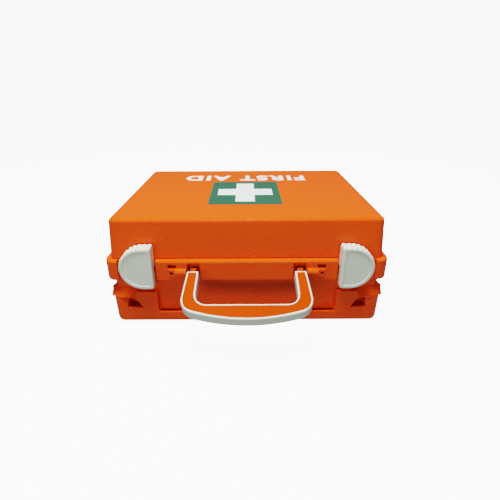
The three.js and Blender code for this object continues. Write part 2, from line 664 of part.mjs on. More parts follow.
// Half of the scissors, pointing along +Y from its pivot, with its finger ring on the left.
function scissorsHalf(bottom) {
  const outline = (points) => new THREE.Shape(points.map(([x, y]) => new THREE.Vector2(x, y)));
  const blade = prism(outline([[-3.6, -6], [3.2, -8], [4, 0], [1.2, 34], [0, 36], [-3.4, 4]]), 0, 1.6);
  const shank = prism(outline([[-3.6, -6], [-8.6, -17], [-2, -18], [3.2, -8]]), 0, 1.6);
  const bow = prism(new THREE.Shape().absellipse(-8, -26, 8.4, 10.4, 0, 2 * Math.PI), 0, 1.6, 16);
  const fingerHole = prism(new THREE.Shape().absellipse(-8, -26, 5.4, 7.2, 0, 2 * Math.PI), -1, 3, 16);
  const rivetHole = cylinder("z", 1.9, 6, 0, 0, 1, 12);
  const opened = THREE.MathUtils.degToRad(-4);
  return carve([blade, shank, bow], [fingerHole, rivetHole]).rotateZ(opened).translate(0, 0, bottom);
}

function scissors() {
  const group = new THREE.Group();
  group.position.set(96, -42, 0);
  group.rotation.z = THREE.MathUtils.degToRad(-52);
  kit.add(group);
  const steel = finish([0.7, 0.71, 0.72], 0.25, 1);
  const bottom = 44.3;
  add("scissors_blade_lower", scissorsHalf(bottom), steel, group);
  add("scissors_blade_upper", scissorsHalf(bottom + 1.8), steel, group).scale.x = -1;
  add("scissors_rivet", cylinder("z", 1.7, 3.6, 0, 0, bottom + 1.8, 12), steel, group);
}

// ---------- assembly ----------
const orangeShell = finish(ORANGE, 0.32);
add("base_shell", baseShell(), orangeShell);
add("lid_shell", lidShell(), orangeShell);
const gasketRing = ring(gasketOutline(0), gasketOutline(-gasket.width), gasket.bottom, gasket.top);
add("rim_gasket", gasketRing, finish([0.07, 0.07, 0.07], 0.8));
const hingePin = cylinder("x", hinge.pinRadius, 2 * knuckleEnd - 1, -hinge.x, hinge.y, PARTING, 12);
addPair("hinge_pin", hingePin, finish([0.6, 0.6, 0.62], 0.35, 1));
latchPieces();
handlePieces();
handleBearings();
labelPieces();
lidInside();
dividers();
dressings();
scissors();

export default kit;
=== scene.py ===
import math

import bmesh
import bpy
from mathutils import Euler, Matrix, Vector, noise


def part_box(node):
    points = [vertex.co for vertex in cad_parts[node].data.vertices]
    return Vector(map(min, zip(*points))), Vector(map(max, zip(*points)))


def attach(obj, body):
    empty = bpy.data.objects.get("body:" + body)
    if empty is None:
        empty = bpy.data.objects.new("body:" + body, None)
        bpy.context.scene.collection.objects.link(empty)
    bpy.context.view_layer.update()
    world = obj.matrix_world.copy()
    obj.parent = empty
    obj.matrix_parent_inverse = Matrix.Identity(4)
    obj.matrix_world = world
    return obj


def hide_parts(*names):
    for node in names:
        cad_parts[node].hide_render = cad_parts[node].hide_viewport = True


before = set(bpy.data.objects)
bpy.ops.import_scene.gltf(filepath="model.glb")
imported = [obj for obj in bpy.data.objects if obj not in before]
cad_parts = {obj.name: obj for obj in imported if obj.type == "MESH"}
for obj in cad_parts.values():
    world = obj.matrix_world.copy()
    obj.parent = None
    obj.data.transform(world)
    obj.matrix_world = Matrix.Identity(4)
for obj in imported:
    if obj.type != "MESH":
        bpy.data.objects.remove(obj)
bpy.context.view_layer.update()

MM = 0.001

# ---------- sealed wrappers and their cloth simulation ----------
SEAL = 5 * MM  # the length of a wrapper's flat seal
PUFF_SCALE = 10
PUFF_SLACK = 0.06  # how much longer than its rest shape the skin is
PUFF_CAP = 2.5 * MM  # the furthest that a point may move
PUFF_FRAMES = 20

# ---------- colours, linear ----------
ORANGE = (0.80, 0.088, 0.010)
# Painted shade: the grip's orange is the shell orange darkened, standing in for less light falling on the handle's
# grip.
SHADED_GRIP_ORANGE = (0.48, 0.055, 0.003)
WHITE_PLASTIC = (0.64, 0.70, 0.60)
GREEN = (0.034, 0.105, 0.066)
CROSS_WHITE = (0.80, 0.86, 0.85)
LETTER_WHITE = (0.84, 0.86, 0.84)
PAPER = (0.80, 0.81, 0.80)
COTTON = (0.78, 0.74, 0.66)


# ---------- material nodes ----------
def shade(colour, factor):
    """The colour made lighter or darker, as a node wants it."""
    return (*[min(1, c * factor) for c in colour[:3]], 1)


def new_material(name):
    """A material with an empty Principled shader: the material, its tree and the shader."""
    material = bpy.data.materials.new(name)
    material.use_nodes = True
    tree = material.node_tree
    tree.nodes.clear()
    output = tree.nodes.new("ShaderNodeOutputMaterial")
    shader = tree.nodes.new("ShaderNodeBsdfPrincipled")
    tree.links.new(shader.outputs["BSDF"], output.inputs["Surface"])
    return material, tree, shader


def add(tree, kind, inputs=None, **settings):
    """A node with its settings, and its inputs linked to sockets or set to values."""
    made = tree.nodes.new(kind)
    for key, value in settings.items():
        setattr(made, key, value)
    for key, value in (inputs or {}).items():
        if isinstance(value, bpy.types.NodeSocket):
            tree.links.new(value, made.inputs[key])
        else:
            made.inputs[key].default_value = value
    return made


def object_coords(tree):
    return add(tree, "ShaderNodeTexCoord").outputs["Object"]


def stretched(tree, coords, scale):
    """The coordinates scaled by a different amount along each axis."""
    return add(tree, "ShaderNodeMapping", {"Vector": coords, "Scale": scale}).outputs["Vector"]


def cloud(tree, coords, scale, detail=4, roughness=0.55):
    inputs = {"Vector": coords, "Scale": scale, "Detail": detail, "Roughness": roughness}
    return add(tree, "ShaderNodeTexNoise", inputs).outputs["Fac"]


def remap(tree, value, low, high, new_low=0.0, new_high=1.0):
    """The value stretched from low..high to new_low..new_high, and held at its ends."""
    inputs = {0: value, 1: low, 2: high, 3: new_low, 4: new_high}
    return add(tree, "ShaderNodeMapRange", inputs, clamp=True).outputs[0]


def calc(tree, operation, a, b=0.5):
    return add(tree, "ShaderNodeMath", {0: a, 1: b}, operation=operation).outputs[0]


def mix(tree, factor, a, b):
    """Colour a where the factor is 0 and colour b where it is 1."""
    return add(tree, "ShaderNodeMixRGB", {"Fac": factor, "Color1": a, "Color2": b}).outputs["Color"]


def bump(tree, height, distance, strength=1.0, normal=None):
    inputs = {"Height": height, "Distance": distance, "Strength": strength}
    if normal is not None:
        inputs["Normal"] = normal
    return add(tree, "ShaderNodeBump", inputs).outputs["Normal"]


def mottled(tree, coords, colour, spread, scale):
    """The colour, a little lighter and darker from place to place."""
    patches = remap(tree, cloud(tree, coords, scale, 5), 0.3, 0.7)
    return mix(tree, patches, shade(colour, 1 - spread), shade(colour, 1 + spread))


def edge_wear_and_highlight_mask(tree, width):
    """1 on a sharp edge and 0 on the faces beside it."""
    rounded = add(tree, "ShaderNodeBevel", {"Radius": width}, samples=4).outputs["Normal"]
    straight = add(tree, "ShaderNodeNewGeometry").outputs["Normal"]
    inputs = {0: rounded, 1: straight}
    alike = add(tree, "ShaderNodeVectorMath", inputs, operation="DOT_PRODUCT").outputs["Value"]
    return remap(tree, alike, 0.985, 0.80)


def plastic(name, colour, roughness=0.28, grain=0.5, peel=0.6, edge=1.1, spread=0.015, **sockets):
    """Moulded plastic: faint mottling, a fine grain, handling scuffs, and sharp edges lightened a little as a
    painted highlight.
    """
    material, tree, shader = new_material(name)
    coords = object_coords(tree)
    base = mottled(tree, coords, colour, spread, 14)
    speckle = remap(tree, cloud(tree, coords, 900, 2), 0.35, 0.65, 0.0, 0.03)
    base = mix(tree, speckle, base, shade(colour, 0.7))
    # Painted highlight: the sharp edges are lightened by the edge factor, in patches, where light would catch the
    # rounded edges.
    edge_wear_and_highlight = calc(tree, "MULTIPLY", edge_wear_and_highlight_mask(tree, 0.0009), cloud(tree, coords, 120, 3))
    base = mix(tree, edge_wear_and_highlight, base, shade(colour, edge))
    tree.links.new(base, shader.inputs["Base Color"])
    smears = remap(tree, cloud(tree, stretched(tree, coords, (1, 1, 3)), 22, 6), 0.38, 0.72)
    scuffs = remap(tree, cloud(tree, stretched(tree, coords, (1, 6, 1)), 160, 4, 0.7), 0.60, 0.90, 0, 0.08)
    gloss = remap(tree, smears, 0, 1, roughness - 0.02, roughness + 0.03)
    tree.links.new(calc(tree, "ADD", gloss, scuffs), shader.inputs["Roughness"])
    height = calc(tree, "MULTIPLY", cloud(tree, coords, 1500, 2), grain * 0.000004)
    waves = calc(tree, "MULTIPLY", cloud(tree, coords, 30, 1), peel * 0.000012)
    shape = bump(tree, calc(tree, "ADD", height, waves), 1.0, 0.6)
    tree.links.new(shape, shader.inputs["Normal"])
    for socket, value in sockets.items():
        shader.inputs[socket.replace("_", " ")].default_value = value
    return material


def brushed_steel(name, colour=(0.62, 0.62, 0.62), roughness=0.26, lines=(1, 1, 30)):
    """Steel with grinding lines, smudges and fine scratches."""
    material, tree, shader = new_material(name)
    coords = object_coords(tree)
    ground = cloud(tree, stretched(tree, coords, lines), 400, 3)
    smudge = remap(tree, cloud(tree, coords, 60, 5), 0.4, 0.7)
    tree.links.new(mix(tree, smudge, shade(colour, 0.88), shade(colour, 1.06)), shader.inputs["Base Color"])
    rough = remap(tree, ground, 0.3, 0.7, roughness - 0.06, roughness + 0.12)
    tree.links.new(rough, shader.inputs["Roughness"])
    tree.links.new(bump(tree, ground, 0.00003), shader.inputs["Normal"])
    shader.inputs["Metallic"].default_value = 1
    return material


def rubber(name, colour):
    """Foam rubber with open pores."""
    material, tree, shader = new_material(name)
    coords = object_coords(tree)
    cells = add(tree, "ShaderNodeTexVoronoi", {"Vector": coords, "Scale": 1800}).outputs["Distance"]
    tree.links.new(mottled(tree, coords, colour, 0.2, 90), shader.inputs["Base Color"])
    tree.links.new(remap(tree, cells, 0, 0.5, 0.85, 0.6), shader.inputs["Roughness"])
    tree.links.new(bump(tree, cells, 0.0001), shader.inputs["Normal"])
    return material


def printed_film(name, colour, roughness=0.32):
    """A printed self-adhesive film: ink grain, and a faint ripple where it was smoothed down."""
    material, tree, shader = new_material(name)
    coords = object_coords(tree)
    base = mottled(tree, coords, colour, 0.05, 35)
    dots = remap(tree, cloud(tree, coords, 2200, 1), 0.45, 0.62, 0, 0.10)
    base = mix(tree, dots, base, shade(colour, 1.35))
    tree.links.new(base, shader.inputs["Base Color"])
    ripple = cloud(tree, coords, 60, 3)
    tree.links.new(remap(tree, ripple, 0.3, 0.7, roughness - 0.05, roughness + 0.08), shader.inputs["Roughness"])
    tree.links.new(bump(tree, ripple, 0.00012, 0.5), shader.inputs["Normal"])
    return material


def clear_sheet(name, tint):
    """Clear rigid sheet: most of what is behind shows, and it shines at a flat angle."""
    material, tree, shader = new_material(name)
    coords = object_coords(tree)
    scratches = cloud(tree, stretched(tree, coords, (1, 14, 1)), 240, 3, 0.7)
    haze = remap(tree, scratches, 0.62, 0.78, 0, 0.08)
    facing = add(tree, "ShaderNodeLayerWeight", {"Blend": 0.35}).outputs["Facing"]
    seen = remap(tree, facing, 0.0, 1.0, 0.10, 0.55)
    tree.links.new(calc(tree, "ADD", seen, haze), shader.inputs["Alpha"])
    tree.links.new(mottled(tree, coords, tint, 0.03, 20), shader.inputs["Base Color"])
    tree.links.new(remap(tree, scratches, 0.3, 0.8, 0.06, 0.2), shader.inputs["Roughness"])
    tree.links.new(bump(tree, scratches, 0.00002), shader.inputs["Normal"])
    return material


def wrap(name, colour, band=None, band_axis=2, band_from=0.0, band_to=0.0, roughness=0.5, fibre=0.6, **sockets):
    """Wrapping paper or film over a dressing: fibres, creases, and a printed band between two heights."""
    material, tree, shader = new_material(name)
    coords = object_coords(tree)
    fibres = cloud(tree, stretched(tree, coords, (1, 1, 5)), 700, 4, 0.7)
    base = mottled(tree, coords, colour, 0.05, 45)
    base = mix(tree, remap(tree, fibres, 0.35, 0.7, 0, 0.25 * fibre), base, shade(colour, 0.82))
    if band is not None:
        along = add(tree, "ShaderNodeSeparateXYZ", {0: coords}).outputs[band_axis]
        edge = 0.0002
        inside = calc(
            tree, "MULTIPLY",
            remap(tree, along, band_from - edge, band_from + edge),
            remap(tree, along, band_to - edge, band_to + edge, 1, 0),
        )
        ink = mix(tree, remap(tree, fibres, 0.3, 0.7, 0, 0.35), shade(band, 1), shade(band, 1.35))
        base = mix(tree, inside, base, ink)
    tree.links.new(base, shader.inputs["Base Color"])
    creases = cloud(tree, coords, 90, 6, 0.65)
    tree.links.new(remap(tree, creases, 0.3, 0.7, roughness - 0.08, roughness + 0.12), shader.inputs["Roughness"])
    small = bump(tree, fibres, 0.00004 * fibre)
    tree.links.new(bump(tree, creases, 0.0006, 0.5, small), shader.inputs["Normal"])
    for socket, value in sockets.items():
        shader.inputs[socket.replace("_", " ")].default_value = value
    return material


def foil(name, colour):
    """Metallised film, sharply creased."""
    material, tree, shader = new_material(name)
    coords = object_coords(tree)
    shards = add(tree, "ShaderNodeTexVoronoi", {"Vector": coords, "Scale": 130}).outputs["Distance"]
    folds = cloud(tree, coords, 75, 6, 0.6)
    tree.links.new(mottled(tree, coords, colour, 0.12, 40), shader.inputs["Base Color"])
    tree.links.new(remap(tree, folds, 0.3, 0.7, 0.14, 0.32), shader.inputs["Roughness"])
    sharp = bump(tree, shards, 0.0012, 0.7)
    tree.links.new(bump(tree, folds, 0.0015, 0.7, sharp), shader.inputs["Normal"])
    shader.inputs["Metallic"].default_value = 1
    return material


def woven(name, colour, threads=1400, crinkle=1.0):
    """Open cotton weave wound on a roll: threads round the roll and up it, with crepe waves."""
    material, tree, shader = new_material(name)
    coords = object_coords(tree)
    split = add(tree, "ShaderNodeSeparateXYZ", {0: coords})
    around = calc(tree, "MULTIPLY", calc(tree, "ARCTAN2", split.outputs[1], split.outputs[0]), 0.02)
    flat = add(tree, "ShaderNodeCombineXYZ", {0: around, 1: split.outputs[2], 2: 0.0}).outputs[0]
    warp = add(
        tree, "ShaderNodeTexWave",
        {"Vector": flat, "Scale": threads / 6.3, "Distortion": 0.6, "Detail": 1},
        bands_direction="X",
    ).outputs["Fac"]
    weft = add(
        tree, "ShaderNodeTexWave",
        {"Vector": flat, "Scale": threads / 6.3, "Distortion": 0.6, "Detail": 1},
        bands_direction="Y",
    ).outputs["Fac"]
    weave = calc(tree, "MAXIMUM", warp, weft)
    base = mottled(tree, coords, colour, 0.05, 60)
    base = mix(tree, remap(tree, weave, 0.2, 0.8, 0.4, 0), base, shade(colour, 0.62))
    tree.links.new(base, shader.inputs["Base Color"])
    shader.inputs["Roughness"].default_value = 0.9
    shader.inputs["Sheen Weight"].default_value = 0.3
    crepe = cloud(tree, stretched(tree, flat, (1, 5, 1)), 120, 3)
    threads_up = bump(tree, weave, 0.00012)
    tree.links.new(bump(tree, crepe, 0.0004 * crinkle, 0.6, threads_up), shader.inputs["Normal"])
    return material


def card(name, colour, roughness=0.5, grain=0.00003):
    """Coated board or paper, with a faint print grain."""
    material, tree, shader = new_material(name)
    coords = object_coords(tree)
    fine = cloud(tree, coords, 1300, 3)
    base = mottled(tree, coords, colour, 0.03, 30)
    base = mix(tree, remap(tree, fine, 0.4, 0.7, 0, 0.12), base, shade(colour, 0.8))
    edge_wear_and_highlight = calc(tree, "MULTIPLY", edge_wear_and_highlight_mask(tree, 0.0007), 0.6)
    tree.links.new(mix(tree, edge_wear_and_highlight, base, (0.75, 0.72, 0.68, 1)), shader.inputs["Base Color"])
    tree.links.new(remap(tree, fine, 0.3, 0.7, roughness - 0.06, roughness + 0.06), shader.inputs["Roughness"])
    tree.links.new(bump(tree, fine, grain), shader.inputs["Normal"])
    return material


# ---------- shapes ----------
def finish_mesh(mesh, smooth=True):
    """Faces turned outwards, doubles joined, and smooth shading."""
    tidy = bmesh.new()
    tidy.from_mesh(mesh)
    bmesh.ops.remove_doubles(tidy, verts=tidy.verts, dist=1e-7)
    bmesh.ops.recalc_face_normals(tidy, faces=tidy.faces)
    tidy.to_mesh(mesh)
    tidy.free()
    mesh.polygons.foreach_set("use_smooth", [smooth] * len(mesh.polygons))


def piece(name, mesh, material, body, origin=(0, 0, 0), stands_for=(), bevel=0.0, bevel_angle=35):
    """A new piece whose mesh is in the row frame, with its own origin, riding on a body."""
    mesh.transform(Matrix.Translation(-Vector(origin)))
    made = bpy.data.objects.new(name, mesh)
    made.location = origin
    bpy.context.scene.collection.objects.link(made)
    mesh.materials.append(material)
    if bevel:
        round_off(made, bevel, bevel_angle)
    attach(made, body)
    if stands_for:
        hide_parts(*stands_for)
    return made


def round_off(made, width, angle=35, segments=3):
    """Rounds the sharp edges of an object, and shades it smooth."""
    rounding = made.modifiers.new("rounding", "BEVEL")
    rounding.width = width
    rounding.segments = segments
    rounding.limit_method = "ANGLE"
    rounding.angle_limit = math.radians(angle)
    rounding.use_clamp_overlap = True
    rounding.miter_outer = "MITER_ARC"
    cut = made.modifiers.new("even_facets", "TRIANGULATE")
    cut.ngon_method = "BEAUTY"
    cut.min_vertices = 5
    weights = made.modifiers.new("even_shading", "WEIGHTED_NORMAL")
    weights.keep_sharp = False


def dress_cad(name, material, width=0.0005, angle=28, segments=3):
    """A CAD node keeps its shape: its facets are joined, its sharp edges rounded, and it gets its material."""
    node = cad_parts[name]
    for slot in node.material_slots:
        slot.material = material
    node.data.polygons.foreach_set("use_smooth", [True] * len(node.data.polygons))
    weld = node.modifiers.new("join_facets", "WELD")
    weld.merge_threshold = 0.000002
    flat = node.modifiers.new("join_flats", "DECIMATE")
    flat.decimate_type = "DISSOLVE"
    flat.angle_limit = math.radians(0.4)
    round_off(node, width, angle, segments)
    return node


def loft(name, rings, close=True):
    """A closed skin through rings of points, each with the same number of points."""
    count = len(rings[0])
    points = [p for ring in rings for p in ring]
    faces = []
    for i in range(len(rings) - 1):
        for j in range(count):
            k = (j + 1) % count
            a, b = i * count, (i + 1) * count
            faces.append((a + j, a + k, b + k, b + j))
    if close:
        faces.append(tuple(range(count)))
        faces.append(tuple(range(len(points) - count, len(points))))
    mesh = bpy.data.meshes.new(name)
    mesh.from_pydata(points, [], faces)
    finish_mesh(mesh)
    return mesh


def smooth_step(value):
    value = max(0.0, min(1.0, value))
    return value * value * (3 - 2 * value)


def pouch(name, low, high, axes, seed, seal=SEAL, rise=11 * MM, squareness=3.4, wrinkle=0.9 * MM, across=72):
    """A sealed wrapper, filled: flat ribbed seals with cut teeth at its two ends, and a creased full middle.

    axes are the indices of its length, its width and its thickness."""
    run, wide, thick = axes
    centre = [(a + b) / 2 for a, b in zip(low, high)]
    length = high[run] - low[run]
    half_width = (high[wide] - low[wide]) / 2
    half_thick = (high[thick] - low[thick]) / 2
    sheet = 0.35 * MM
    stations = [seal * i / 12 for i in range(13)]
    body = 34
    stations += [seal + (length - 2 * seal) * i / body for i in range(1, body)]
    stations += [length - seal * i / 12 for i in range(12, -1, -1)]
    rings = []
    for number, s in enumerate(stations):
        end = min(s, length - s)
        swell = smooth_step((end - seal) / rise) ** 0.75
        near = math.exp(-max(0, end - seal) / (10 * MM))
        a = half_width * (1 - 0.035 * swell)
        b = sheet + (half_thick - sheet - wrinkle * 0.35) * swell
        power = 2 / (2 + (squareness - 2) * swell)
        last = number in (0, len(stations) - 1)
        rib = 0.16 * MM * math.sin(2 * math.pi * end / (1.25 * MM)) * (end < seal)
        ring = []
        for j in range(across):
            turn = 2 * math.pi * j / across
            c, d = math.cos(turn), math.sin(turn)
            v = a * math.copysign(abs(c) ** power, c)
            w = b * math.copysign(abs(d) ** power, d)
            fine = noise.noise(Vector((v * 190, s * 28, seed + 3 * (d > 0))))
            broad = noise.noise(Vector((v * 45, s * 45, seed + 7.7 + 3 * (d > 0))))
            crease = wrinkle * swell * (0.9 * near * fine + 0.45 * broad)
            w += crease * (1 if d > 0 else -1) * abs(d) ** 0.5 + rib
            tooth = 0.45 * MM * (1 if j % 2 else -1) if last else 0
            point = [0.0, 0.0, 0.0]
            inwards = 1 if s < length / 2 else -1
            point[run] = low[run] + s + inwards * (0.5 * MM + tooth) * last
            point[wide] = centre[wide] + v
            point[thick] = centre[thick] + w
            ring.append([min(max(p, lo), hi) for p, lo, hi in zip(point, low, high)])
        rings.append(ring)
    return loft(name, rings)


def puff_up(mesh, low, high, run, seal):
    """Cloth simulation of a filled wrapper: its seals are held, and its loose skin is blown out from inside.

    It is worked at PUFF_SCALE times its size. No point moves more than PUFF_CAP, and none leaves the box."""
    start = [v.co.copy() for v in mesh.vertices]
    mesh.transform(Matrix.Scale(PUFF_SCALE, 4))
    made = bpy.data.objects.new("puffing", mesh)
    bpy.context.scene.collection.objects.link(made)
    held = made.vertex_groups.new(name="held")
    seals = (low[run] + seal, high[run] - seal)
    held.add([i for i, c in enumerate(start) if not seals[0] < c[run] < seals[1]], 1.0, "REPLACE")
    cloth = made.modifiers.new("cloth", "CLOTH")
    settings = cloth.settings
    settings.quality = 6
    settings.mass = 0.3
    settings.tension_stiffness = 20
    settings.compression_stiffness = 12
    settings.shear_stiffness = 8
    settings.bending_stiffness = 0.4
    settings.vertex_group_mass = "held"
    settings.shrink_min = -PUFF_SLACK
    settings.use_pressure = True
    settings.uniform_pressure_force = 4
    settings.effector_weights.gravity = 0
    scene = bpy.context.scene
    for number in range(1, PUFF_FRAMES + 1):
        scene.frame_set(number)
    blown = made.evaluated_get(bpy.context.evaluated_depsgraph_get()).to_mesh()
    settled = [v.co / PUFF_SCALE for v in blown.vertices]
    bpy.data.objects.remove(made)
    scene.frame_set(1)
    for vertex, before, after in zip(mesh.vertices, start, settled):
        step = after - before
        step *= min(1, PUFF_CAP / max(step.length, 1e-9))
        vertex.co = [min(max(c, lo), hi) for c, lo, hi in zip(before + step, low, high)]


def joined(name, meshes):
    """Several meshes as one."""
    together = bmesh.new()
    for mesh in meshes:
        together.from_mesh(mesh)
        bpy.data.meshes.remove(mesh)
    result = bpy.data.meshes.new(name)
    together.to_mesh(result)
    together.free()
    result.polygons.foreach_set("use_smooth", [True] * len(result.polygons))
    return result


def winding(name, centre, inner, outer, low, high, pitch, seed, gap=0.16, waver=0.35 * MM, rows=7, steps=44):
    """A strip wound round and round an upright axis, from its inner to its outer radius."""
    turns = (outer - inner) / pitch
    total = int(turns * steps)
    rings = []
    for i in range(total + 1):
        angle = 2 * math.pi * i / steps
        radius = inner + pitch * i / steps
        taper = min(1, (total - i) / 6 + 0.12, i / 6 + 0.12)
        half = pitch * (1 - gap) / 2 * taper
        ring = []
        for side in (-1, 1):
            for r in range(rows)[::side]:
                share = r / (rows - 1)
                lift = low + (high - low) * share
                rim = abs(share - 0.5) > 0.49
                inwards = (1 if share < 0.5 else -1) * rim
                uneven = noise.noise(Vector((angle * 1.9, radius * 900, seed)))
                lift += inwards * waver * (0.5 + 0.5 * uneven)
                push = 0.22 * pitch * noise.noise(Vector((angle * 3, lift * 160, seed + 5)))
                reach = radius + half * side * (0.55 if rim else 1) + push
                reach = min(reach, outer + pitch * 0.45)
                ring.append((centre[0] + reach * math.cos(angle), centre[1] + reach * math.sin(angle), lift))
        rings.append(ring)
    return loft(name, rings)


def tube(name, centre, inner, outer, low, high, edge=0.3 * MM, steps=72):
    """A ring about an upright axis, with eased edges."""
    profile = [
        (inner, low + edge), (inner + edge, low), (outer - edge, low), (outer, low + edge),
        (outer, high - edge), (outer - edge, high), (inner + edge, high), (inner, high - edge),
    ]
    rings = []
    for i in range(steps + 1):
        angle = 2 * math.pi * i / steps
        rings.append([(centre[0] + r * math.cos(angle), centre[1] + r * math.sin(angle), z) for r, z in profile])
    return loft(name, rings, close=False)


def slab(name, low, high):
    """A box, to be rounded by its piece."""
    mesh = bpy.data.meshes.new(name)
    made = bmesh.new()
    bmesh.ops.create_cube(made, size=1)
    centre = [(a + b) / 2 for a, b in zip(low, high)]
    size = [b - a for a, b in zip(low, high)]
    for vertex in made.verts:
        vertex.co = [c + v * s for c, v, s in zip(centre, vertex.co, size)]
    made.to_mesh(mesh)
    made.free()
    return mesh


# ---------- camera, light, floor ----------
def set_camera():
    data = bpy.data.cameras.new("camera")
    data.sensor_width = 36
    data.lens = 23.34
    data.shift_x = 0.0072
    data.shift_y = -0.0942
    data.clip_start = 0.01
    camera = bpy.data.objects.new("camera", data)
    camera.rotation_mode = "QUATERNION"
    pitch = Euler((math.radians(90 - 20.98), 0, 0)).to_matrix()
    roll = Matrix.Rotation(math.radians(-0.26), 3, "Z")
    camera.rotation_quaternion = (pitch @ roll).to_quaternion()
    camera.location = (0, -0.4068, 0.2624)
    bpy.context.scene.collection.objects.link(camera)
    bpy.context.scene.camera = camera


def soft_box(name, location, target, size, energy, colour=(1, 1, 1)):
    data = bpy.data.lights.new(name, "AREA")
    data.shape = "RECTANGLE"
    data.size, data.size_y = size
    data.energy = energy
    data.color = colour
    lamp = bpy.data.objects.new(name, data)
    lamp.location = location
    lamp.rotation_mode = "QUATERNION"
    lamp.rotation_quaternion = (Vector(target) - Vector(location)).to_track_quat("-Z", "Y")
    bpy.context.scene.collection.objects.link(lamp)
    return lamp


def set_light():
    scene = bpy.context.scene
    scene.view_settings.view_transform = "Filmic"
    scene.view_settings.look = "High Contrast"
    world = bpy.data.worlds.new("studio")
    scene.world = world
    world.use_nodes = True
    tree = world.node_tree
    tree.nodes.clear()
    direction = add(tree, "ShaderNodeTexCoord").outputs["Generated"]
    upwards = add(tree, "ShaderNodeSeparateXYZ", {0: direction}).outputs[2]
    low_glow = remap(tree, upwards, -0.5, 0.0, 0.32, 0.10)
    high_glow = remap(tree, upwards, 0.1, 0.45, 0.0, 0.12)
    overhead = remap(tree, upwards, 0.5, 0.8, 1.0, 0.05)
    glow = calc(tree, "MULTIPLY", calc(tree, "ADD", low_glow, high_glow), overhead)
    room = add(tree, "ShaderNodeBackground", {"Color": (1, 1, 1, 1), "Strength": glow})
    backdrop = add(tree, "ShaderNodeBackground", {"Color": (1, 1, 1, 1), "Strength": 4.0})
    seen = add(tree, "ShaderNodeLightPath").outputs["Is Camera Ray"]
    both = add(tree, "ShaderNodeMixShader", {0: seen, 1: room.outputs[0], 2: backdrop.outputs[0]})
    output = add(tree, "ShaderNodeOutputWorld")
    tree.links.new(both.outputs[0], output.inputs["Surface"])
    soft_box("key", (-0.10, -0.22, 1.18), (0, 0, 0.08), (0.5, 0.4), 24.5).visible_glossy = False
    soft_box("front_fill", (-0.25, -1.2, 0.16), (0, 0, 0.05), (0.9, 0.3), 3.7).visible_glossy = False


def set_floor():
    mesh = bpy.data.meshes.new("floor")
    made = bmesh.new()
    bmesh.ops.create_grid(made, x_segments=8, y_segments=8, size=4)
    made.to_mesh(mesh)
    made.free()
    floor = bpy.data.objects.new("floor", mesh)
    floor.location.z = -0.0003
    bpy.context.scene.collection.objects.link(floor)
    material, tree, shader = new_material("pale_floor")
    coords = object_coords(tree)
    tree.links.new(mottled(tree, coords, (0.9, 0.9, 0.9), 0.01, 3), shader.inputs["Base Color"])
    shader.inputs["Roughness"].default_value = 0.9
    shader.inputs["Emission Color"].default_value = (1, 1, 1, 1)
    shader.inputs["Emission Strength"].default_value = 3.6
    mesh.materials.append(material)
    floor.visible_diffuse = False
    floor.visible_glossy = False


set_camera()
set_light()
set_floor()

# ---------- CAD nodes and their finishes ----------
shell_orange = plastic("shell_orange", ORANGE, roughness=0.28, Specular_IOR_Level=0.35)
clip_orange = plastic("clip_orange", ORANGE, roughness=0.34, Specular_IOR_Level=0.35)
# Painted shade: the grip gets a darker copy of the shell orange.
shaded_grip_orange = plastic("shaded_grip_orange", SHADED_GRIP_ORANGE, roughness=0.33, grain=1.5, Specular_IOR_Level=0.35)
white_plastic = plastic("white_plastic", WHITE_PLASTIC, roughness=0.36, edge=1.0, spread=0.02)
knob_white = plastic("knob_white", (0.8, 0.8, 0.78), roughness=0.3)
steel = brushed_steel("steel")
# Painted shade: the screw's dark red-brown stands in for the shadow in its recess, laid on the steel.
screw_steel_with_painted_shade = brushed_steel("screw_steel_with_painted_shade", (0.20, 0.08, 0.045), 0.45)
scissors_steel = brushed_steel("scissors_ground_steel", (0.68, 0.68, 0.69), 0.2, (1, 30, 1))
black_rubber = rubber("seal_rubber", (0.018, 0.018, 0.02))
green_film = printed_film("green_film", GREEN)
white_film = printed_film("white_film", CROSS_WHITE)
divider_plastic = plastic("divider_plastic", (0.62, 0.64, 0.64), roughness=0.4, grain=2.0)
clear_plastic = clear_sheet("clear_sheet", (0.85, 0.9, 0.92))

for name in ("base_shell", "lid_shell"):
    dress_cad(name, shell_orange, 0.0006)
dress_cad("handle_core", shaded_grip_orange, 0.0003)
dress_cad("handle_frame", white_plastic, 0.0003)
dress_cad("rim_gasket", black_rubber, 0.0003)
dress_cad("label_panel", green_film, 0.00008)
dress_cad("label_cross", white_film, 0.00005)
dress_cad("lid_cover_plate", clear_plastic, 0.0004)
dress_cad("cover_plate_knob", knob_white, 0.0003)
dress_cad("scissors_rivet", steel, 0.0003)
dress_cad("divider_long", divider_plastic, 0.0005)
for side in ("left", "right"):
    dress_cad(f"latch_{side}", white_plastic, 0.0004)
    dress_cad(f"handle_bearing_clip_{side}", clip_orange, 0.0004)
    for part in ("hinge_pin", "latch_pin", "handle_pin", "latch_spring_washer", "latch_retaining_clip"):
        dress_cad(f"{part}_{side}", steel, 0.0002)
    dress_cad(f"handle_clip_screw_{side}", screw_steel_with_painted_shade, 0.00015)
    for row in ("front", "back"):
        dress_cad(f"divider_{row}_{side}", divider_plastic, 0.0005)
for half in ("lower", "upper"):
    dress_cad(f"scissors_blade_{half}", scissors_steel, 0.0002)


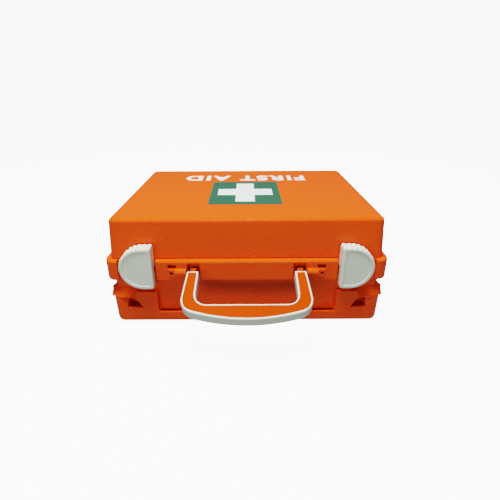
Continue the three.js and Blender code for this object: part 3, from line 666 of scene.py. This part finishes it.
# ---------- lettering ----------
def set_lettering():
    """Generic words on the lid's top, read from the hinge side."""
    curve = bpy.data.curves.new("lid_lettering", "FONT")
    curve.body = "FIRST AID"
    curve.offset = 0.036
    curve.space_character = 1.18
    curve.extrude = 0.004
    text = bpy.data.objects.new("lettering_outline", curve)
    bpy.context.scene.collection.objects.link(text)
    bpy.context.view_layer.update()
    mesh = bpy.data.meshes.new_from_object(text.evaluated_get(bpy.context.evaluated_depsgraph_get()))
    bpy.data.objects.remove(text)
    bpy.data.curves.remove(curve)
    mesh.name = "lid_lettering"
    corners = [v.co for v in mesh.vertices]
    low = Vector([min(c[i] for c in corners) for i in range(3)])
    high = Vector([max(c[i] for c in corners) for i in range(3)])
    size = high - low
    wide, tall, thick = 173 * MM, 24 * MM, 0.15 * MM
    lid_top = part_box("lid_shell")[1].z
    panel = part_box("label_panel")
    middle = (panel[0] + panel[1]) / 2
    place = (
        Matrix.Translation((middle.x, panel[1].y + 19.5 * MM, lid_top))
        @ Matrix.Rotation(math.pi, 4, "Z")
        @ Matrix.Diagonal((wide / size.x, tall / size.y, thick / size.z, 1))
        @ Matrix.Translation(-Vector(((low.x + high.x) / 2, (low.y + high.y) / 2, low.z)))
    )
    mesh.transform(place)
    finish_mesh(mesh, smooth=False)
    ink = printed_film("letter_film", LETTER_WHITE)
    piece("lid_lettering", mesh, ink, "lid")


set_lettering()


# ---------- contents ----------
def node_box(name, gap=0.25 * MM):
    """A CAD node's box, a little smaller all round."""
    low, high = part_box(name)
    return [c + gap for c in low], [c - gap for c in high]


def middle_of(low, high):
    return [(a + b) / 2 for a, b in zip(low, high)]


def set_rolls():
    cotton = woven("crepe_cotton", COTTON)
    band_paper = card("roll_band_paper", (0.62, 0.72, 0.78))
    for number in range(1, 5):
        name = f"bandage_roll_{number}"
        low, high = node_box(name)
        centre = middle_of(low, high)
        outer = (high[0] - low[0]) / 2 - 1.0 * MM
        mesh = winding(name, centre, 3 * MM, outer, low[2], high[2], 1.7 * MM, number * 11.3)
        roll = piece(f"{name}_cloth", mesh, cotton, "base", centre, [name])
        tall = high[2] - low[2]
        band = tube(
            f"{name}_band", centre, outer + 0.45 * MM, outer + 0.75 * MM, low[2] + tall * 0.35, high[2] - tall * 0.3,
            0.1 * MM,
        )
        piece(f"{name}_band", band, band_paper, "base", centre)


def set_tape():
    tape = woven("zinc_tape", (0.80, 0.68, 0.52), threads=2200, crinkle=0.2)
    core_plastic = plastic("spool_core_plastic", (0.78, 0.78, 0.76))
    for number in (1, 2):
        name = f"tape_spool_{number}"
        low, high = node_box(name)
        centre = middle_of(low, high)
        outer = (high[0] - low[0]) / 2
        mesh = winding(
            name, centre, 13 * MM, outer - 0.4 * MM, low[2] + 0.4 * MM, high[2] - 0.4 * MM, 0.62 * MM, number * 5.1,
            gap=0.08, waver=0.1 * MM, rows=5, steps=40,
        )
        piece(f"{name}_tape", mesh, tape, "base", centre, [name])
        core = tube(f"{name}_core", centre, 11.3 * MM, 12.6 * MM, low[2], high[2])
        piece(f"{name}_core", core, core_plastic, "base", centre)


def set_packs():
    """The sealed packs: node, material, slot, length-width-thickness axes, seed, and how it is filled."""
    stands = (2, 0, 1)
    lies = (1, 0, 2)
    dressing = wrap("dressing_wrap", PAPER, GREEN, 2, 0.008, 0.018)
    triangular = wrap("triangular_wrap", (0.78, 0.78, 0.74), (0.05, 0.14, 0.36), 2, 0.010, 0.020)
    glove_film = wrap(
        "glove_film", (0.16, 0.34, 0.62), None, roughness=0.28, fibre=0.2, Coat_Weight=0.5, Coat_Roughness=0.15,
    )
    cold_film = wrap(
        "cold_film", (0.72, 0.78, 0.84), (0.03, 0.12, 0.42), 0, -0.022, 0.022, roughness=0.26, fibre=0.2,
        Coat_Weight=0.4, Coat_Roughness=0.12,
    )
    gauze_wrap = wrap("gauze_wrap", PAPER, GREEN, 1, -0.012, 0.012)
    burn_wrap = wrap("burn_wrap", (0.80, 0.80, 0.76), (0.55, 0.12, 0.02), 1, -0.012, 0.012)
    gold = foil("gold_foil", (0.83, 0.56, 0.17))
    rows = [
        ("triangular_bandage_pack", triangular, "paper_wrap", stands, 21.0, 0.7, {"rise": 8 * MM}),
        ("rescue_blanket_pack", gold, "gold_foil", stands, 32.0, 0.8, {"wrinkle": 1.4 * MM, "rise": 7 * MM}),
        ("gloves_bag", glove_film, "glove_bag", stands, 43.0, 0.5, {"wrinkle": 1.6 * MM, "rise": 16 * MM}),
        ("cold_pack", cold_film, "cold_pack_film", (0, 1, 2), 54.0, 0.6, {"wrinkle": 1.5 * MM, "rise": 20 * MM}),
        ("burn_dressing_pack", burn_wrap, "paper_wrap", lies, 65.0, 0.6, {}),
        ("gauze_pack", gauze_wrap, "paper_wrap", lies, 76.0, 0.7, {}),
    ]
    for number in range(1, 5):
        seed = 80 + 3.1 * number
        rows.append((f"dressing_pack_{number}", dressing, "paper_wrap", stands, seed, 0.8, {"rise": 7 * MM}))
    for name, material, slot, axes, seed, fill, shape in rows:
        low, high = node_box(name)
        body = "lid" if name in ("burn_dressing_pack", "gauze_pack") else "base"
        mesh = pouch(name, low, high, axes, seed, **shape)
        puff_up(mesh, low, high, axes[0], SEAL)
        made = piece(f"{name}_wrap", mesh, material, body, middle_of(low, high), [name])


def set_compresses():
    """A stack of flat sachets, each sealed at two ends."""
    sachet = wrap("compress_wrap", PAPER, GREEN, 1, -0.008, 0.008)
    low, high = node_box("compress_pack")
    count = 6
    layer = (high[2] - low[2]) / count
    meshes = []
    for i in range(count):
        inset = [0.8 * MM * (1 + noise.noise(Vector((i * 3.3, k, 2)))) for k in range(4)]
        box_low = [low[0] + inset[0], low[1] + inset[1], low[2] + i * layer + 0.05 * MM]
        box_high = [high[0] - inset[2], high[1] - inset[3], low[2] + (i + 1) * layer - 0.05 * MM]
        meshes.append(pouch("sachet", box_low, box_high, (1, 0, 2), 90 + i * 2.3, wrinkle=0.5 * MM, rise=9 * MM))
    made = piece(
        "compress_sachets", joined("compress_sachets", meshes), sachet, "base", middle_of(low, high),
        ["compress_pack"],
    )


def set_carton():
    """The plaster carton: a glued box, a tucked lid, and plasters printed on the lid."""
    low, high = node_box("plaster_carton")
    board = card("carton_board", (0.78, 0.78, 0.76), 0.35)
    green_board = card("carton_green", GREEN, 0.35)
    beige = card("carton_beige", (0.72, 0.42, 0.24), 0.5)
    body_top = high[2] - 1.2 * MM
    piece(
        "plaster_carton_box", slab("plaster_carton_box", low, (high[0], high[1], body_top)), board, "base",
        stands_for=["plaster_carton"], bevel=0.5 * MM,
    )
    lid_low = (low[0] + 0.4 * MM, low[1] + 0.3 * MM, body_top + 0.1 * MM)
    lid_high = (high[0] - 0.4 * MM, high[1] - 0.3 * MM, body_top + 0.6 * MM)
    piece(
        "plaster_carton_lid", slab("plaster_carton_lid", lid_low, lid_high), green_board, "base",
        bevel=0.2 * MM,
    )
    top = lid_high[2]
    for number in range(3):
        x = low[0] + (0.2 + 0.3 * number) * (high[0] - low[0])
        y = (low[1] + high[1]) / 2
        strip = []
        for i in range(48):
            turn = 2 * math.pi * i / 48
            c, d = math.cos(turn), math.sin(turn)
            strip.append((
                x + 5 * MM * math.copysign(abs(c) ** 0.8, c),
                y + (11 * MM) * math.copysign(abs(d) ** 0.45, d),
            ))
        rings = [[(*p, top + 0.02 * MM) for p in strip], [(*p, top + 0.14 * MM) for p in strip]]
        piece(f"carton_print_{number + 1}", loft("carton_print", rings), beige, "base")
        pad_low = (x - 4.2 * MM, y - 4.4 * MM, top + 0.14 * MM)
        pad_high = (x + 4.2 * MM, y + 4.4 * MM, top + 0.22 * MM)
        piece(
            f"carton_print_pad_{number + 1}", slab("carton_print_pad", pad_low, pad_high), board, "base",
            bevel=0.03 * MM,
        )


def set_booklet():
    """A stapled leaflet: leaves between a folded cover, with a plain cross on the side that shows."""
    low, high = node_box("first_aid_booklet", 0.1 * MM)
    paper = card("leaf_paper", (0.78, 0.77, 0.72), 0.7)
    cover = card("booklet_cover", GREEN, 0.35)
    mark = card("booklet_mark", (0.82, 0.84, 0.82), 0.35)
    leaves = []
    count = 9
    first, last = low[2] + 0.45 * MM, high[2] - 0.45 * MM
    for i in range(count):
        z = first + (last - first) * i / count
        trim = 1.2 * MM + 0.5 * MM * noise.noise(Vector((i * 1.7, 4, 1))) + 0.12 * MM * abs(i - count / 2)
        leaf_low = (low[0] + 0.5 * MM, low[1] + 1.0 * MM, z)
        leaf = slab("leaf", leaf_low, (high[0] - trim, high[1] - 1.0 * MM, z + 0.27 * MM))
        leaves.append(leaf)
    piece(
        "booklet_leaves", joined("booklet_leaves", leaves), paper, "lid",
        stands_for=["first_aid_booklet"],
    )
    bottom, top, left, right = low[2], high[2], low[0], high[0]
    spine = (top - bottom) / 2
    board = 0.4 * MM
    outline = [(right, bottom)]
    outline += [
        (left + spine - spine * math.sin(a), bottom + spine - spine * math.cos(a))
        for a in (math.pi * i / 12 for i in range(13))
    ]
    outline += [(right, top), (right, top - board)]
    outline += [
        (left + spine - (spine - board) * math.sin(a), bottom + spine + (spine - board) * math.cos(a))
        for a in (math.pi * i / 12 for i in range(13))
    ]
    outline += [(right, bottom + board)]
    rings = [[(x, y, z) for x, z in outline] for y in (low[1], low[1] + 0.3 * (high[1] - low[1]), high[1])]
    piece(
        "booklet_cover", loft("booklet_cover", rings), cover, "lid", bevel=0.08 * MM,
        bevel_angle=50,
    )
    x, y = (left + right) / 2, (low[1] + high[1]) / 2
    arm, half = 24 * MM, 8 * MM
    corners = [
        (arm, -half), (arm, half), (half, half), (half, arm), (-half, arm), (-half, half),
        (-arm, half), (-arm, -half), (-half, -half), (-half, -arm), (half, -arm), (half, -half),
    ]
    rings = [[(x + a, y + b, bottom - z) for a, b in corners] for z in (0.07 * MM, -0.05 * MM)]
    mesh = loft("booklet_cross", rings)
    mesh.polygons.foreach_set("use_smooth", [False] * len(mesh.polygons))
    piece("booklet_cross", mesh, mark, "lid")


set_rolls()
set_tape()
set_packs()
set_compresses()
set_carton()
set_booklet()
